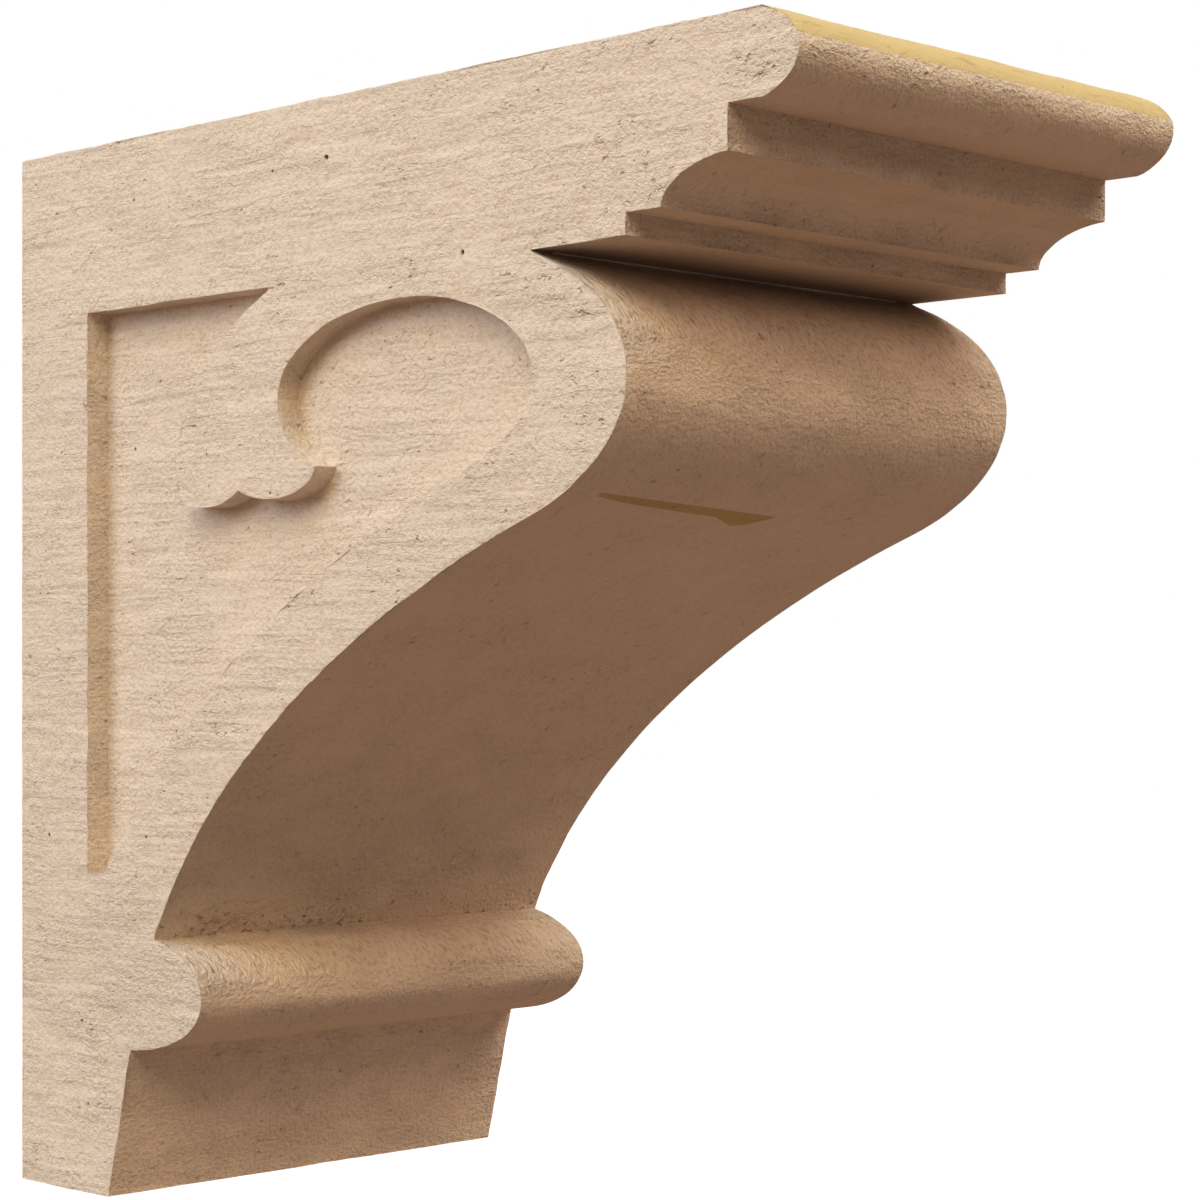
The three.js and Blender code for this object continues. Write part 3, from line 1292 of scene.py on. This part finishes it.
def add_light(scene, name, round_left, up, brightness, settings):
    """A round soft light that looks at the middle of the corbel."""
    light = bpy.data.lights.new(name, "AREA")
    light.shape = "DISK"
    light.size = settings.light_size
    strength = max(brightness)
    light.color = [channel / strength for channel in brightness]
    # A white matt face at this distance reflects the strength given
    spread = (math.pi * settings.light_distance) ** 2
    light.energy = strength * settings.light_gain * spread
    turn, tilt = math.radians(round_left), math.radians(up)
    way = Vector(
        (
            -math.sin(turn) * math.cos(tilt),
            -math.cos(turn) * math.cos(tilt),
            math.sin(tilt),
        )
    )
    middle = (CAD_BOX[0] + CAD_BOX[1]) / 2
    holder = aimed(scene, light, middle + way * settings.light_distance, -way)
    holder.visible_camera = False


def add_surround(scene, settings):
    """Warm light from all round, with a plain white backdrop."""
    world = bpy.data.worlds.new("surround")
    world.use_nodes = True
    nodes = Nodes(world.node_tree)
    lit = nodes.new("ShaderNodeBackground")
    lit.inputs["Color"].default_value = (*settings.surround, 1.0)
    seen = nodes.new("ShaderNodeBackground")
    seen.inputs["Color"].default_value = WHITE
    path = nodes.new("ShaderNodeLightPath")
    mix = nodes.new("ShaderNodeMixShader")
    nodes.link(path.outputs["Is Camera Ray"], mix.inputs[0])
    nodes.link(lit.outputs[0], mix.inputs[1])
    nodes.link(seen.outputs[0], mix.inputs[2])
    nodes.finish(mix, "ShaderNodeOutputWorld")
    scene.world = world


def add_floor(scene, settings):
    """A wide pale floor well below the corbel, which hangs on a wall."""
    z = BOTTOM - settings.floor_drop
    corners = [
        (x * FLOOR_REACH, y * FLOOR_REACH, z)
        for x, y in ((-1, -1), (1, -1), (1, 1), (-1, 1))
    ]
    mesh = bpy.data.meshes.new("floor")
    mesh.from_pydata(corners, [], [(0, 1, 2, 3)])
    floor = bpy.data.objects.new("floor", mesh)
    material = bpy.data.materials.new("pale_floor")
    material.use_nodes = True
    nodes = Nodes(material.node_tree)
    shader = nodes.new("ShaderNodeBsdfPrincipled")
    shader.inputs["Base Color"].default_value = (0.92, 0.92, 0.92, 1.0)
    shader.inputs["Roughness"].default_value = 1.0
    shader.inputs["Emission Color"].default_value = WHITE
    shader.inputs["Emission Strength"].default_value = 1.0
    nodes.finish(shader, "ShaderNodeOutputMaterial")
    mesh.materials.append(material)
    floor.visible_diffuse = False
    floor.visible_glossy = False
    scene.collection.objects.link(floor)


class CORBEL_OT_studio(bpy.types.Operator):
    """Set up the camera, the soft lights, the white surround and the pale floor"""

    bl_idname = "corbel.studio"
    bl_label = "Set Up Studio"
    bl_options = {"REGISTER", "UNDO"}

    def execute(self, context):
        scene = context.scene
        settings = scene.corbel_studio
        add_camera(scene)
        for light in LIGHTS:
            add_light(scene, *light, settings)
        add_surround(scene, settings)
        add_floor(scene, settings)
        scene.view_settings.view_transform = "Standard"
        return {"FINISHED"}


class CORBEL_PT_panel(bpy.types.Panel):
    """Lists the corbel's sizes, colours and operators"""

    bl_label = "Urethane Corbel"
    bl_idname = "CORBEL_PT_panel"
    bl_space_type = "VIEW_3D"
    bl_region_type = "UI"
    bl_category = "Corbel"

    def draw(self, context):
        layout = self.layout
        scene = context.scene
        groups = (
            (scene.corbel_skin, "corbel.cast"),
            (scene.corbel_finish, None),
            (scene.corbel_studio, "corbel.studio"),
        )
        for settings, operator in groups:
            box = layout.box()
            for name in settings.__annotations__:
                box.prop(settings, name)
            if operator:
                box.operator(operator)


CLASSES = (
    CorbelSkinSettings,
    CorbelFinishSettings,
    CorbelStudioSettings,
    CORBEL_OT_cast,
    CORBEL_OT_studio,
    CORBEL_PT_panel,
)
GROUPS = {
    "corbel_skin": CorbelSkinSettings,
    "corbel_finish": CorbelFinishSettings,
    "corbel_studio": CorbelStudioSettings,
}


def register():
    for cls in CLASSES:
        bpy.utils.register_class(cls)
    for name, group in GROUPS.items():
        setattr(bpy.types.Scene, name, PointerProperty(type=group))


def unregister():
    for name in GROUPS:
        delattr(bpy.types.Scene, name)
    for cls in reversed(CLASSES):
        bpy.utils.unregister_class(cls)


def main():
    register()
    bpy.ops.corbel.cast()
    bpy.ops.corbel.studio()


if __name__ == "__main__":
    main()
